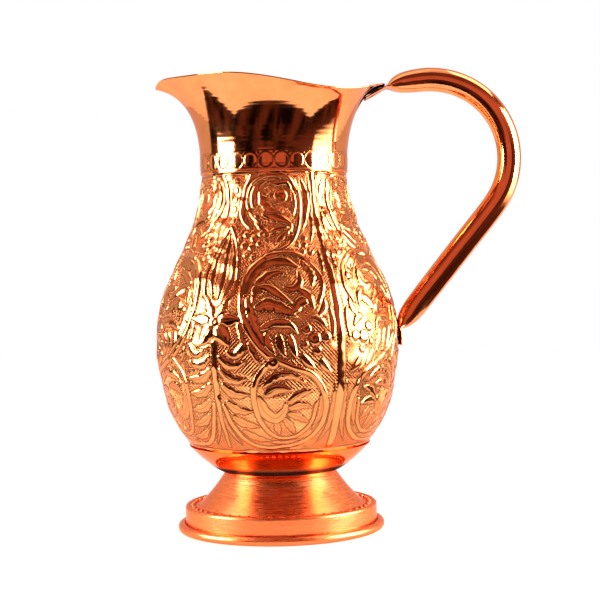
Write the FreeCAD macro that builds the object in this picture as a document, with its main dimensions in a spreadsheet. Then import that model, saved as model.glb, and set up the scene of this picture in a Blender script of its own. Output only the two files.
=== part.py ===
import FreeCAD, Part
import math
import os
import re

import Sketcher
from FreeCAD import Vector

# Copper water jug: four spun sheet-copper shells soldered at lap joints, a bent tube handle brazed on
# and a wire in the foot's curled edge. Millimetres, +Z up. The origin is on the jug's axis in the plane
# it stands on; the handle points along +X and the spout along -X.
SIZES = {
    # sheet metal and joints
    "sheet_wall": 0.8,
    "solder_film": 0.05,
    "lap_depth": 5.0,
    # pear-shaped vessel, outer surface of the belly; a share sets how full the curve is there
    "belly_radius": 67.6,
    "belly_height": 106.2,
    "shoulder_share": 0.392,
    "throat_share": 0.4406,
    "throat_radius": 40.2,
    "throat_height": 203.8,
    "hip_share": 0.59,
    "bottom_share": 0.651,
    "bottom_height": 26.6,
    "lap_share": 0.271,
    # flared mouth, at the rim's outer edge, measured from the throat
    "flare_pull": 25.5,
    "lip_pull": 11.5,
    "rear_overhang": 22.6,
    "rear_rise": 43.1,
    "rear_lip_angle": 2.0,
    "side_rise": 35.3,
    "side_lip_angle": 38.0,
    "shoulder_overhang": 13.3,
    "shoulder_rise": 47.1,
    "shoulder_lip_angle": 50.0,
    "spout_overhang": 24.6,
    "spout_trough_depth": 4.0,
    "spout_lip_angle": 12.0,
    "spout_lip_pull": 16.5,
    "rear_spread": 40.0,
    "reach_spread": 75.0,
    "lift_start": 27.0,
    "lift_end": 133.0,
    "spout_spread": 23.0,
    "trough_spread": 9.0,
    # foot
    "foot_wall": 0.9,
    "wire_radius": 1.4,
    "wire_clearance": 0.25,
    "curl_flat": 0.12,
    "curl_gap": 0.6,
    "band_radius": 53.8,
    "band_top": 14.7,
    "band_round": 1.6,
    "step_drop": 0.7,
    "cone_base_inset": 7.2,
    "cone_top_radius": 29.6,
    "cone_top_rise": 8.4,
    "cone_sag_radius": 90.0,
    "bead_ring_inset": 4.5,
    "bead_margin": 0.4,
    "bead_radius": 1.45,
    "bead_rise": 1.0,
    "bead_count": 52,
    # handle
    "tube_radius": 6.7,
    "tube_wall": 0.75,
    "top_bend_radius": 43.9,
    "crown_bend_radius": 82.0,
    "crown_run": 24.0,
    "rim_margin": 1.2,
    "upper_tab_angle": 28.0,
    "lower_pinch_rise": 5.0,
    "lower_tab_length": 9.0,
    "press_length": 5.0,
}

# How far a curve's poles stand off, as a share of the radius, to draw a quarter circle.
CIRCLE_PULL = 0.55
# How far the poles of the sunk shoulder curve drop, as a share of its depth, for an even wall.
SLOPE_DROP = 0.3

doc = FreeCAD.newDocument("copper_water_jug")
sizes = doc.addObject("Spreadsheet::Sheet", "Sizes")
for row, (alias, number) in enumerate(SIZES.items(), start=1):
    sizes.set(f"A{row}", alias)
    sizes.set(f"B{row}", str(number))
    sizes.setAlias(f"B{row}", alias)
doc.recompute()


def value(formula):
    """A formula in the sheet's aliases, as a number."""
    return float(sizes.evalExpression(formula))


def bound(formula):
    """The same formula with each alias written as a reference to the sheet, for setExpression."""
    return re.sub("[a-z_]+", lambda word: f"Sizes.{word[0]}" if word[0] in SIZES else word[0], formula)


# ---------------------------------------------------------------- sketches and bodies


def origin_plane(body, role):
    return next(feature for feature in body.Origin.OriginFeatures if feature.Role == role)


def pin_point(sketch, geometry, position, place):
    """Holds one point of a sketch at a place given by two formulas."""
    for kind, formula in zip(("DistanceX", "DistanceY"), place):
        number = value(formula)
        if formula == "0":
            # Part of the axis or of the base line.
            target = -2 if kind == "DistanceX" else -1
            sketch.addConstraint(Sketcher.Constraint("PointOnObject", geometry, position, target))
            continue
        index = sketch.addConstraint(Sketcher.Constraint(kind, -1, 1, geometry, position, number))
        sketch.setExpression(f"Constraints[{index}]", bound(formula))


def profile_sketch(body, name, corners):
    """A closed profile in the XZ plane. Each corner is (x, z, edge to the next corner); an edge is
    None for a line, ("arc", radius, side) or ("pull", pole, pole) for a curve drawn by two poles."""
    sketch = body.newObject("Sketcher::SketchObject", name)
    sketch.AttachmentSupport = (origin_plane(body, "XZ_Plane"), [""])
    sketch.MapMode = "FlatFace"
    places = [Vector(value(x), value(z), 0) for x, z, _ in corners]
    edges = []
    for index, (_, _, edge) in enumerate(corners):
        start, end = places[index], places[(index + 1) % len(corners)]
        if edge is None:
            edges.append((sketch.addGeometry(Part.LineSegment(start, end), False), 1, 2, edge))
        elif edge[0] == "arc":
            radius = value(edge[1])
            chord = end - start
            rise = math.sqrt(max(radius**2 - chord.Length**2 / 4, 0))
            across = Vector(-chord.y, chord.x, 0).normalize() * edge[2]
            centre = (start + end) / 2 - across * rise
            middle = centre + across * radius
            arc = Part.Arc(start, middle, end)
            number = sketch.addGeometry(arc, False)
            forward = sketch.getPoint(number, 1).distanceToPoint(start) < 1e-6
            edges.append((number, 1 if forward else 2, 2 if forward else 1, edge))
        else:
            poles = [start] + [Vector(value(x), value(z), 0) for x, z in edge[1:]] + [end]
            curve = Part.BSplineCurve()
            curve.buildFromPolesMultsKnots(poles, [4, 4], [0.0, 1.0], False, 3)
            edges.append((sketch.addGeometry(curve, False), 1, 2, edge))
    for index, (number, _, last, _) in enumerate(edges):
        following, first = edges[(index + 1) % len(edges)][:2]
        sketch.addConstraint(Sketcher.Constraint("Coincident", number, last, following, first))
    for (number, first, _, _), (x, z, _) in zip(edges, corners):
        pin_point(sketch, number, first, (x, z))
    for number, _, _, edge in edges:
        if edge is None:
            continue
        if edge[0] == "arc":
            index = sketch.addConstraint(Sketcher.Constraint("Radius", number, value(edge[1])))
            sketch.setExpression(f"Constraints[{index}]", bound(edge[1]))
            continue
        first_pole = sketch.GeometryCount
        sketch.exposeInternalGeometry(number)
        for pole, place in enumerate(edge[1:], start=1):
            pin_point(sketch, first_pole + pole, 3, place)
    return sketch


def revolve(body, name, corners):
    """A profile turned once about the jug's axis."""
    turned = body.newObject("PartDesign::Revolution", name)
    turned.Profile = profile_sketch(body, f"{name}_profile", corners)
    turned.ReferenceAxis = (turned.Profile[0], ["V_Axis"])
    turned.Angle = 360.0
    body.Tip = turned
    return turned


def turn_away(body, name, corners):
    """Removes a profile turned once about the jug's axis."""
    before = body.Shape.Volume
    groove = body.newObject("PartDesign::Groove", name)
    groove.Profile = profile_sketch(body, f"{name}_profile", corners)
    groove.ReferenceAxis = (groove.Profile[0], ["V_Axis"])
    groove.Angle = 360.0
    body.Tip = groove
    doc.recompute()
    if not groove.Shape.Volume < before:
        raise RuntimeError(f"{name} removed nothing")
    return groove


def new_body(label):
    body = doc.addObject("PartDesign::Body", label)
    body.Label = label
    return body


# ---------------------------------------------------------------- curves shared by several pieces

SHOULDER_Z = "(belly_height + shoulder_share * (throat_height - belly_height))"
THROAT_Z = "(throat_height - throat_share * (throat_height - belly_height))"
HIP_Z = "(belly_height - hip_share * (belly_height - bottom_height))"
BOTTOM_X = "(bottom_share * belly_radius)"
LAP_Z = "(bottom_height + lap_share * (belly_height - bottom_height))"


def cubic(poles, share):
    """The point at a share of the way along a curve drawn by four poles, and its direction."""
    a, b, c, d = poles
    rest = 1 - share
    place = a * rest**3 + b * (3 * rest**2 * share) + c * (3 * rest * share**2) + d * share**3
    heading = (b - a) * rest**2 + (c - b) * (2 * rest * share) + (d - c) * share**2
    return place, heading


def pear_poles(upper):
    """Poles of the belly's outer profile above or below its widest circle, as (radius, 0, height)."""
    reach = value("belly_radius")
    widest = Vector(reach, 0, value("belly_height"))
    if upper:
        throat = value("throat_radius")
        return [widest, Vector(reach, 0, value(SHOULDER_Z)), Vector(throat, 0, value(THROAT_Z)),
                Vector(throat, 0, value("throat_height"))]
    floor = value("bottom_height")
    return [widest, Vector(reach, 0, value(HIP_Z)), Vector(value(BOTTOM_X), 0, floor),
            Vector(0, 0, floor)]


def pear_at(height):
    """Point and outward normal of the belly's outer profile at a height."""
    upper = height >= value("belly_height")
    poles = pear_poles(upper)
    low, high = 0.0, 1.0
    for _ in range(50):
        middle = (low + high) / 2
        if (cubic(poles, middle)[0].z < height) == upper:
            low = middle
        else:
            high = middle
    place, heading = cubic(poles, low)
    normal = Vector(abs(heading.z), 0, heading.x if heading.z < 0 else -heading.x)
    return place, normal.normalize()


def block(low, high):
    """Profile of a disc between two heights, wider than the vessel."""
    reach = "belly_radius + lap_depth"
    return [("0", low, None), (reach, low, None), (reach, high, None), ("0", high, None)]


def lower_pear(growth):
    """Half-profile of the vessel below its widest circle, grown outward, from the axis outward."""
    spread = f"({growth}) * {CIRCLE_PULL}"
    return [
        ("0", f"bottom_height - ({growth})", (
            "pull",
            (f"{BOTTOM_X} + {spread}", f"bottom_height - ({growth})"),
            (f"belly_radius + {growth}", f"{HIP_Z} - {spread}"),
        )),
        (f"belly_radius + {growth}", "belly_height", None),
    ]


def whole_pear(depth):
    """Half-profile of the vessel from the bottom to the throat, sunk inward by a depth."""
    drop = f"({depth}) * {SLOPE_DROP}"
    return [
        lower_pear(f"0 - {depth}")[0],
        (f"belly_radius - {depth}", "belly_height", (
            "pull",
            (f"belly_radius - {depth}", f"{SHOULDER_Z} - {drop}"),
            (f"throat_radius - {depth}", f"{THROAT_Z} - {drop}"),
        )),
        (f"throat_radius - {depth}", "throat_height", None),
        ("0", "throat_height", None),
    ]


# ---------------------------------------------------------------- belly

belly = new_body("belly")
revolve(belly, "pear", whole_pear("0"))
doc.recompute()
turn_away(belly, "belly_hollow", whole_pear("sheet_wall"))
turn_away(belly, "belly_foot", block("0", f"{LAP_Z} - lap_depth"))

# ---------------------------------------------------------------- bottom bowl

bottom_bowl = new_body("bottom_bowl")
revolve(bottom_bowl, "cup", lower_pear("solder_film + sheet_wall") + [("0", "belly_height", None)])
doc.recompute()
turn_away(bottom_bowl, "cup_hollow", lower_pear("solder_film") + [("0", "belly_height", None)])
turn_away(bottom_bowl, "cup_mouth", block(LAP_Z, "belly_height"))

# ---------------------------------------------------------------- foot

# The foot's sheet runs down its band, under the wire and back over it.
CURL_INSIDE = "(wire_radius + wire_clearance)"
CURL_OUTSIDE = "(wire_radius + wire_clearance + foot_wall)"
CURL_X = "(band_radius + wire_radius + wire_clearance)"
CURL_Z = "(wire_radius + wire_clearance + foot_wall - curl_flat)"
CURL_FLAT_HALF = f"sqrt(2 * {CURL_OUTSIDE} * curl_flat - curl_flat * curl_flat)"
CURL_END_X = "(band_radius + curl_gap)"
CURL_END_DX = f"({CURL_END_X} - {CURL_X})"
CURL_END_DZ = f"sqrt({CURL_OUTSIDE} * {CURL_OUTSIDE} - {CURL_END_DX} * {CURL_END_DX})"
CURL_SHRINK = f"({CURL_INSIDE} / {CURL_OUTSIDE})"
STEP_Z = "(band_top - step_drop)"
BEAD_RING_X = "(band_radius - bead_ring_inset)"
STEP_RIM = f"({BEAD_RING_X} + bead_radius + bead_margin)"
CONE_BASE_X = "(band_radius - cone_base_inset)"
CONE_TOP_Z = "(bottom_height + cone_top_rise)"
# The cone's wall measured level, where it is shallow at its foot and steep at its top.
CONE_FOOT_WALL = "foot_wall / 3"
CONE_TOP_WALL = "foot_wall * 1.2"
BEAD_ROOT_Z = f"{STEP_Z} - foot_wall / 3"
BEAD_CURVE = "(bead_radius * bead_radius + bead_rise * bead_rise) / (2 * bead_rise)"

foot_spinning = new_body("foot_spinning")
revolve(foot_spinning, "foot_section", [
    # outside, from the cone's top out to the band and down to the curl
    ("cone_top_radius", CONE_TOP_Z, ("arc", "cone_sag_radius", -1)),
    (CONE_BASE_X, STEP_Z, None),
    (STEP_RIM, STEP_Z, None),
    (f"{STEP_RIM} + step_drop", "band_top", None),
    ("band_radius - band_round", "band_top", ("arc", "band_round", 1)),
    ("band_radius", "band_top - band_round", None),
    # round the wire
    ("band_radius", CURL_Z, ("arc", CURL_INSIDE, -1)),
    (CURL_X, f"{CURL_Z} - {CURL_INSIDE}", ("arc", CURL_INSIDE, -1)),
    (f"{CURL_X} + {CURL_INSIDE}", CURL_Z, ("arc", CURL_INSIDE, -1)),
    (f"{CURL_X} + {CURL_END_DX} * {CURL_SHRINK}", f"{CURL_Z} + {CURL_END_DZ} * {CURL_SHRINK}", None),
    (CURL_END_X, f"{CURL_Z} + {CURL_END_DZ}", ("arc", CURL_OUTSIDE, 1)),
    (f"{CURL_X} + {CURL_OUTSIDE}", CURL_Z, ("arc", CURL_OUTSIDE, 1)),
    (f"{CURL_X} + {CURL_FLAT_HALF}", "0", None),
    (f"{CURL_X} - {CURL_FLAT_HALF}", "0", ("arc", CURL_OUTSIDE, 1)),
    # inside, back up to the cone's top
    ("band_radius - foot_wall", CURL_Z, None),
    ("band_radius - foot_wall", "band_top - band_round", ("arc", "band_round - foot_wall", -1)),
    ("band_radius - band_round", "band_top - foot_wall", None),
    (f"{STEP_RIM} + step_drop", "band_top - foot_wall", None),
    (STEP_RIM, f"{STEP_Z} - foot_wall", None),
    (f"{CONE_BASE_X} - {CONE_FOOT_WALL}", f"{STEP_Z} - foot_wall", ("arc", "cone_sag_radius", 1)),
    (f"cone_top_radius - {CONE_TOP_WALL}", CONE_TOP_Z, None),
])
doc.recompute()

# One bead stands on the step and is repeated round it.
bead = foot_spinning.newObject("PartDesign::Revolution", "bead")
bead.Profile = profile_sketch(foot_spinning, "bead_profile", [
    (BEAD_RING_X, BEAD_ROOT_Z, None),
    (f"{BEAD_RING_X} + bead_radius", BEAD_ROOT_Z, None),
    (f"{BEAD_RING_X} + bead_radius", STEP_Z, ("arc", BEAD_CURVE, -1)),
    (BEAD_RING_X, f"{STEP_Z} + bead_rise", None),
])
bead.ReferenceAxis = (bead.Profile[0], ["Edge4"])
bead.Angle = 360.0
foot_spinning.Tip = bead
doc.recompute()
beads = foot_spinning.newObject("PartDesign::PolarPattern", "beads")
beads.Originals = [bead]
beads.Axis = (origin_plane(foot_spinning, "Z_Axis"), [""])
beads.Angle = 360.0
beads.Occurrences = int(value("bead_count"))
foot_spinning.Tip = beads
doc.recompute()

# The cone's top edge is dressed to the bowl it is soldered under.
bowl_seat = new_body("bowl_seat")
revolve(bowl_seat, "seat", lower_pear("sheet_wall + 2 * solder_film") + [("0", "belly_height", None)])
doc.recompute()
foot_pedestal = doc.addObject("Part::Cut", "foot_pedestal")
foot_pedestal.Label = "foot_pedestal"
foot_pedestal.Base = foot_spinning
foot_pedestal.Tool = bowl_seat
doc.recompute()

foot_edge_wire = doc.addObject("Part::Torus", "foot_edge_wire")
foot_edge_wire.Label = "foot_edge_wire"
foot_edge_wire.setExpression("Radius1", bound(CURL_X))
foot_edge_wire.setExpression("Radius2", bound("wire_radius"))
foot_edge_wire.setExpression("Placement.Base.z", bound(CURL_Z))

# ---------------------------------------------------------------- neck and mouth


def bell(azimuth, centre, spread):
    """A weight of 1 at a centre azimuth that fades to nothing over a few spreads."""
    apart = (azimuth - centre + 180) % 360 - 180
    return math.exp(-((apart / spread) ** 2))


def ease(share):
    """A smooth step from 0 to 1, level at both ends."""
    share = min(max(share, 0.0), 1.0)
    return share**3 * (share * (6 * share - 15) + 10)


def rim_at(azimuth):
    """The rim's outer edge at an azimuth from the handle: radius, height, the lip's angle and the
    length of its last pole."""
    rear = bell(azimuth, 0, value("rear_spread"))
    spout = bell(azimuth, 180, value("spout_spread"))
    turn = abs((azimuth + 180) % 360 - 180)
    lift = ease((turn - value("lift_start")) / (value("lift_end") - value("lift_start")))
    radius = value("throat_radius + shoulder_overhang")
    radius += value("rear_overhang - shoulder_overhang") * bell(azimuth, 0, value("reach_spread"))
    radius += value("spout_overhang - shoulder_overhang") * spout
    height = value("throat_height + side_rise")
    height += value("rear_rise - side_rise") * rear
    height += value("shoulder_rise - side_rise") * lift
    height -= value("spout_trough_depth") * bell(azimuth, 180, value("trough_spread"))
    angle = value("side_lip_angle")
    angle += (value("rear_lip_angle") - value("side_lip_angle")) * rear
    angle += (value("shoulder_lip_angle") - value("side_lip_angle")) * lift
    angle += (value("spout_lip_angle") - value("shoulder_lip_angle")) * spout
    pull = value("lip_pull") + value("spout_lip_pull - lip_pull") * spout
    return radius, height, math.radians(angle), pull


def mouth_poles(azimuth):
    """Poles of the flare's outer profile at an azimuth, as (radius, 0, height)."""
    radius, height, angle, pull = rim_at(azimuth)
    throat = Vector(value("throat_radius + solder_film + sheet_wall"), 0, value("throat_height"))
    rim = Vector(radius, 0, height)
    lip = Vector(math.cos(angle), 0, math.sin(angle)) * pull
    return [throat, throat + Vector(0, 0, value("flare_pull")), rim - lip, rim]


def mouth_profile(azimuth, station):
    """Point of the neck's outer profile: station -1 to 0 is the lap round the belly, 0 to 1 the flare."""
    if station >= 0:
        return cubic(mouth_poles(azimuth), station)[0]
    height = value("throat_height") + station * value("lap_depth")
    return Vector(pear_at(height)[0].x + value("solder_film + sheet_wall"), 0, height)


def mouth_point(azimuth, station):
    profile = mouth_profile(azimuth, station)
    angle = math.radians(azimuth)
    return Vector(profile.x * math.cos(angle), profile.x * math.sin(angle), profile.z)


def mouth_ring(station, depth):
    """A closed curve round the neck at one station, sunk into the wall by a depth."""
    nudge = 0.01
    points = []
    for azimuth in range(0, 360, RING_STEP):
        around = mouth_point(azimuth + nudge, station) - mouth_point(azimuth - nudge, station)
        above = min(station + nudge, 1.0)
        up = mouth_point(azimuth, above) - mouth_point(azimuth, above - 2 * nudge)
        outward = around.cross(up).normalize()
        points.append(mouth_point(azimuth, station) - outward * depth)
    curve = Part.BSplineCurve()
    curve.interpolate(Points=points, PeriodicFlag=True)
    return Part.Wire([curve.toShape()])


def closed_shell(faces):
    shell = Part.Shell(faces)
    shell.sewShape()
    solid = Part.Solid(shell)
    if solid.Volume < 0:
        solid.reverse()
    return solid


RING_STEP = 5
FLARE_STATIONS = 9
stations = [-1.0, -0.5] + [index / FLARE_STATIONS for index in range(FLARE_STATIONS + 1)]
outside = [mouth_ring(station, 0.0) for station in stations]
inside = [mouth_ring(station, value("sheet_wall")) for station in stations]
neck_mouth = doc.addObject("Part::Feature", "neck_mouth")
neck_mouth.Label = "neck_mouth"
neck_mouth.Shape = closed_shell(
    Part.makeLoft(outside, False, False).Faces
    + Part.makeLoft(inside, False, False).Faces
    + Part.makeLoft([outside[-1], inside[-1]], False, True).Faces
    + Part.makeLoft([outside[0], inside[0]], False, True).Faces
)
neck_mouth.Placement = FreeCAD.Placement()
doc.recompute()

# ---------------------------------------------------------------- handle


def heading_of(degrees):
    return Vector(math.cos(math.radians(degrees)), 0, math.sin(math.radians(degrees)))


def left_of(heading):
    """The direction a quarter turn anticlockwise from a heading, seen with +X right and +Z up."""
    return Vector(-heading.z, 0, heading.x)


def neck_radius(height):
    """The neck's outer radius on the handle's side at a height, between the throat and the rim."""
    low, high = 0.0, 1.0
    for _ in range(40):
        middle = (low + high) / 2
        if mouth_profile(0, middle).z < height:
            low = middle
        else:
            high = middle
    return mouth_profile(0, low).x


def tab_reach(pinch, heading, half):
    """How far the upper tab runs before its upper edge meets the neck."""
    low, high = value("sheet_wall"), value("crown_bend_radius") / 2
    for _ in range(40):
        middle = (low + high) / 2
        edge = pinch + heading * middle - left_of(heading) * half
        if edge.x > neck_radius(edge.z) + value("solder_film"):
            low = middle
        else:
            high = middle
    return low


def stand_off(step):
    """How much further out than a round outline the poles stand that draw it, one pole each step."""
    return 3 / (2 + math.cos(step))


def handle_path():
    """Stations along the tube's centreline, from the neck to the belly: place, heading, distance
    from the nearer pinch (negative on the tabs) and how far the tube is pressed round the belly."""
    flat = value("tube_wall")
    press_room = value("solder_film") + flat
    upper = Vector(value("throat_radius + rear_overhang + rim_margin"), 0,
                   value("throat_height + rear_rise") - press_room)
    # The crown is a shallow bend, level at its far end, and the top bend takes over from there.
    crown_run = value("crown_run")
    crown_radius = value("crown_bend_radius")
    crown = upper + Vector(crown_run, 0, crown_radius - math.sqrt(crown_radius**2 - crown_run**2))
    top_radius = value("top_bend_radius")
    centre = crown - Vector(0, 0, top_radius)
    # The straight run leaves the top bend towards the lower pinch on the belly.
    pinch_height = value("belly_height + lower_pinch_rise")
    seat, outward = pear_at(pinch_height)
    lower = seat + outward * press_room
    apart = lower - centre
    leave = math.degrees(math.atan2(apart.z, apart.x) + math.acos(top_radius / apart.Length))
    path = []
    tab_heading = heading_of(180 + value("upper_tab_angle"))
    tab_length = tab_reach(upper, tab_heading, flat)
    for share in (1.0, 0.5, 0.15):
        path.append((upper + tab_heading * tab_length * share, tab_heading * -1, -1.0, 0.0))
    crown_centre = crown - Vector(0, 0, crown_radius)
    start_angle = 90 + math.degrees(math.asin(crown_run / crown_radius))
    crown_length = crown_radius * math.radians(start_angle - 90)
    for along in PRESS_STATIONS:
        if along < crown_length * 0.9:
            angle = start_angle - math.degrees(along / crown_radius)
            path.append((crown_centre + heading_of(angle) * crown_radius,
                         left_of(heading_of(angle)) * -1, along, 0.0))
    step = (leave - 90) / TOP_BEND_STATIONS
    drawn_radius = top_radius * stand_off(math.radians(step))
    for index in range(TOP_BEND_STATIONS + 1):
        angle = 90 + step * index
        along = crown_length + top_radius * math.radians(90 - angle)
        path.append((centre + heading_of(angle) * drawn_radius,
                     left_of(heading_of(angle)) * -1, along, 0.0))
    run_start = centre + heading_of(leave) * top_radius
    run_length = (lower - run_start).Length
    run_heading = (lower - run_start) / run_length
    straight = [along for along in PRESS_STATIONS if along < run_length * 0.9]
    for along in [run_length * 0.75, run_length * 0.5] + straight[::-1]:
        blend = run_heading
        if along == 0:
            blend = (run_heading - Vector(0, 0, 1)).normalize()
        path.append((lower - run_heading * along, blend, along, 0.0))
    for share in (0.2, 0.5, 1.0):
        seat, outward = pear_at(pinch_height - value("lower_tab_length") * share)
        path.append((seat + outward * press_room, left_of(outward) * -1, -1.0, 1 / seat.x))
    return path


def tube_section(station, shrink):
    """Poles of the tube's outline at a station, pressed flat near its ends at a constant girth."""
    place, heading, along, wrap = station
    radius = value("tube_radius")
    flat = value("tube_wall")
    squeeze = 1 - math.exp(-max(along, 0.0) / value("press_length"))
    half = flat + (radius - flat) * squeeze
    width = half + (radius - half) * math.pi / 2
    roundness = 2 / (3 - squeeze)
    across = left_of(heading)
    out = stand_off(2 * math.pi / SECTION_POLES)
    poles = []
    for index in range(SECTION_POLES):
        turn = 2 * math.pi * index / SECTION_POLES
        rise = math.copysign(abs(math.sin(turn)) ** roundness, math.sin(turn)) * (half - shrink)
        side = math.copysign(abs(math.cos(turn)) ** roundness, math.cos(turn)) * (width - shrink)
        rise = rise * out + wrap * side**2 / 2
        poles.append(place + across * rise + Vector(0, side * out, 0))
    return poles


def drawn_solid(rows):
    """A solid whose skin is drawn by rows of poles, each row a closed outline, with flat ends."""
    last = len(rows) - 3
    around = len(rows[0])
    skin = Part.BSplineSurface()
    skin.buildFromPolesMultsKnots(
        rows,
        [4] + [1] * (last - 1) + [4],
        [1] * (around + 1),
        [float(knot) for knot in range(last + 1)],
        [float(knot) for knot in range(around + 1)],
        False,
        True,
        3,
        3,
    )
    ends = [Part.Face(Part.Wire([skin.uIso(float(knot)).toShape()])) for knot in (0, last)]
    return closed_shell([skin.toShape()] + ends)


SECTION_POLES = 24
TOP_BEND_STATIONS = 10
PRESS_STATIONS = (0, 2.5, 5, 8, 12, 18)
path = handle_path()
tube = drawn_solid([tube_section(station, 0.0) for station in path])
wall = value("tube_wall")
bore = drawn_solid([tube_section(station, wall) for station in path if station[2] > 1])
handle_tube = doc.addObject("Part::Feature", "handle_tube")
handle_tube.Label = "handle_tube"
handle_tube.Shape = tube.cut(bore)
handle_tube.Placement = FreeCAD.Placement()

# ---------------------------------------------------------------- output

doc.recompute()
PIECES = (belly, bottom_bowl, foot_pedestal, foot_edge_wire, neck_mouth, handle_tube)
for piece in doc.Objects:
    if "Invalid" in piece.State or "Error" in piece.State:
        raise RuntimeError(f"{piece.Label} failed: {piece.State}")
for piece in PIECES:
    if piece.Shape.isNull() or not piece.Shape.isValid() or len(piece.Shape.Solids) != 1:
        raise RuntimeError(f"{piece.Label} isn't one valid solid")

os.makedirs("parts", exist_ok=True)
for piece in PIECES:
    piece.Shape.exportStep(f"parts/{piece.Label}.step")
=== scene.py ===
import math
import random

import bpy
import numpy as np
from mathutils import Matrix, Vector


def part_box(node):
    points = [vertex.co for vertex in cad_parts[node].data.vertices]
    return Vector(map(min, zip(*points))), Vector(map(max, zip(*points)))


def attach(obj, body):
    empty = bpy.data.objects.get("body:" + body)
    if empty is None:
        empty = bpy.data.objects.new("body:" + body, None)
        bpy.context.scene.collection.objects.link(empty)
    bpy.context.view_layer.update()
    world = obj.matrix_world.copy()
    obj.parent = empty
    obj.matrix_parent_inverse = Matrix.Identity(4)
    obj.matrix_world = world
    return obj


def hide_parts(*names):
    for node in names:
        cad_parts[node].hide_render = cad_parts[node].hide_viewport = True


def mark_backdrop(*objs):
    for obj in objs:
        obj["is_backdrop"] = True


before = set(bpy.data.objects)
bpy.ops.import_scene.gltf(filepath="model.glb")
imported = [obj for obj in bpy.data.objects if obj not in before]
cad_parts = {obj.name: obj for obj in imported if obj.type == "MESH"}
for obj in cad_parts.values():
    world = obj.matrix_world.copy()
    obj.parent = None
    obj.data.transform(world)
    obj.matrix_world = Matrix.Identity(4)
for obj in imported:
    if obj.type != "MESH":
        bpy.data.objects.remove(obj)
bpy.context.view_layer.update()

# Copper water jug. The CAD nodes give the shapes; this script embosses the belly, stamps the neck, and
# gives every piece its copper. Lengths are metres unless a name or a comment says mm.
MM = 0.001

# ---------------------------------------------------------------- sizes

# The CAD's own sizes: the sheet, the solder film, the neck's lap, the height of the widest circle and the
# throat's radius. The pear's widest radius and the heights of its ends are read from the frame.
WALL = 0.8 * MM
FILM = 0.05 * MM
LAP_DEPTH = 5 * MM
BELLY_HEIGHT = 106.2 * MM
THROAT_RADIUS = 40.2 * MM
BELLY_LOW, BELLY_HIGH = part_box("belly")
BELLY_RADIUS = BELLY_HIGH.x
THROAT_HEIGHT = BELLY_HIGH.z
FLOOR_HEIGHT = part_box("bottom_bowl")[0].z + WALL + FILM

# ---------------------------------------------------------------- profiles of the sheet-metal shells

# How far the pear's inner poles stand, as shares of its radius and of its heights, as in the CAD.
BOTTOM_SHARE = 0.651
HIP_SHARE = 0.59
SHOULDER_SHARE = 0.392
THROAT_SHARE = 0.4406
PROFILE_POINTS = 600

# The mouth is a flare whose shape changes along its rim. Each row is what one stretch of the rim adds:
# overhang past the throat, rise over it, lean of the lip in degrees, length of the lip's pole, pull of the
# throat's pole, and fullness of the curve between them, in mm.
MOUTH = {
    "plain": (13.3, 35.3, 38, 11.5, 25.5, 0),
    "handle side": (9.3, 0, 0, 0, 0, 0),
    "under the handle": (0, 7.8, -36, 0, 0, 0),
    "lift towards the spout": (0, 11.8, 12, 0, 0, 0),
    "spout": (11.3, 0, -38, 5, 0, 0),
    "trough of the spout": (0, -4, 0, 0, 0, 0),
    # the spun flare as the planisher left it: fuller towards the spout, flatter towards the handle
    "full cheek": (1.7, 0, 5.8, 1.6, 1.9, 1.36),
    "flat cheek": (-1, 0, -6.8, -3.1, -9.2, 0.2),
}


def cubic(poles, share):
    """Points of a curve drawn by four poles, at an array of shares of the way along it."""
    share = np.asarray(share, float)[..., None]
    rest = 1 - share
    a, b, c, d = poles
    return a * rest**3 + 3 * b * rest**2 * share + 3 * c * rest * share**2 + d * share**3


def pear_profile():
    """The belly's outer profile as dense (radius, height) points, from the bottom to the throat."""
    waist = THROAT_HEIGHT - BELLY_HEIGHT
    hip = BELLY_HEIGHT - FLOOR_HEIGHT
    lower = np.array([(0, FLOOR_HEIGHT), (BOTTOM_SHARE * BELLY_RADIUS, FLOOR_HEIGHT),
                      (BELLY_RADIUS, BELLY_HEIGHT - HIP_SHARE * hip), (BELLY_RADIUS, BELLY_HEIGHT)])
    upper = np.array([(BELLY_RADIUS, BELLY_HEIGHT), (BELLY_RADIUS, BELLY_HEIGHT + SHOULDER_SHARE * waist),
                      (THROAT_RADIUS, THROAT_HEIGHT - THROAT_SHARE * waist), (THROAT_RADIUS, THROAT_HEIGHT)])
    shares = np.linspace(0, 1, PROFILE_POINTS)
    return np.concatenate([cubic(lower, shares), cubic(upper, shares[1:])])


PEAR = pear_profile()


def pear_radius(height):
    return np.interp(height, PEAR[:, 1], PEAR[:, 0])


def bump(offset, half_width):
    """1 where offset is 0, falling to nothing at both sides."""
    return np.exp(-((offset / half_width) ** 2))


def bell(azimuth, centre, spread):
    """1 at one azimuth, falling to nothing at both sides of it."""
    return bump((azimuth - centre + 180) % 360 - 180, spread)


def ease(share):
    """A smooth step from 0 to 1."""
    share = np.clip(share, 0, 1)
    return share**3 * (share * (6 * share - 15) + 10)


def mouth_shape(azimuth):
    """The columns of MOUTH at azimuths in degrees from the handle."""
    from_handle = np.abs((azimuth + 180) % 360 - 180)
    weights = {
        "plain": np.ones(azimuth.shape),
        "handle side": bell(azimuth, 0, 75),
        "under the handle": bell(azimuth, 0, 40),
        "lift towards the spout": ease((from_handle - 27) / 106),
        "spout": bell(azimuth, 180, 23),
        "trough of the spout": bell(azimuth, 180, 9),
        "full cheek": bell(from_handle, 113, 32),
        "flat cheek": bell(from_handle, 56, 36),
    }
    return sum(np.multiply.outer(np.array(MOUTH[stretch], float), weight)
               for stretch, weight in weights.items())


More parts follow.
